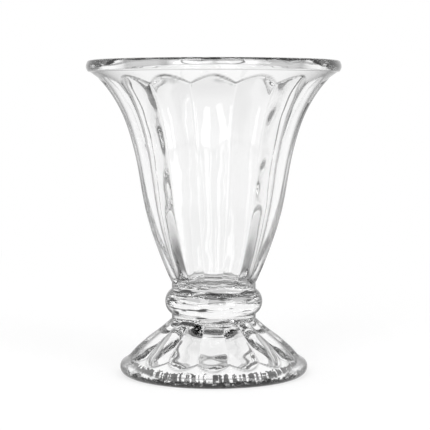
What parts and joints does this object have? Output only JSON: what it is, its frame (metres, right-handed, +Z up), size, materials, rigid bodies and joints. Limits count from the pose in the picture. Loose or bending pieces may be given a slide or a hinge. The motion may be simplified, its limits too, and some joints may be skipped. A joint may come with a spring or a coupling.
{
  "type": "sundae glass",
  "caption": "Footed tulip sundae glass in clear pressed glass, with a flared panelled bowl, a ring knop on a short stem and a hollow panelled foot.",
  "frame": {"origin": "centre of the foot's bearing ring, in the plane that the glass stands on", "axes": "+Z up along the glass's axis; the glass is turned about it as in the picture, which looks along +Y"},
  "size_m": [0.1028, 0.1028, 0.127],
  "materials": {
    "clear_glass": "fire-polished clear soda-lime glass, smooth and glossy"
  },
  "bodies": {
    "root": {"sundae_glass": "clear_glass"}
  },
  "joints": []
}
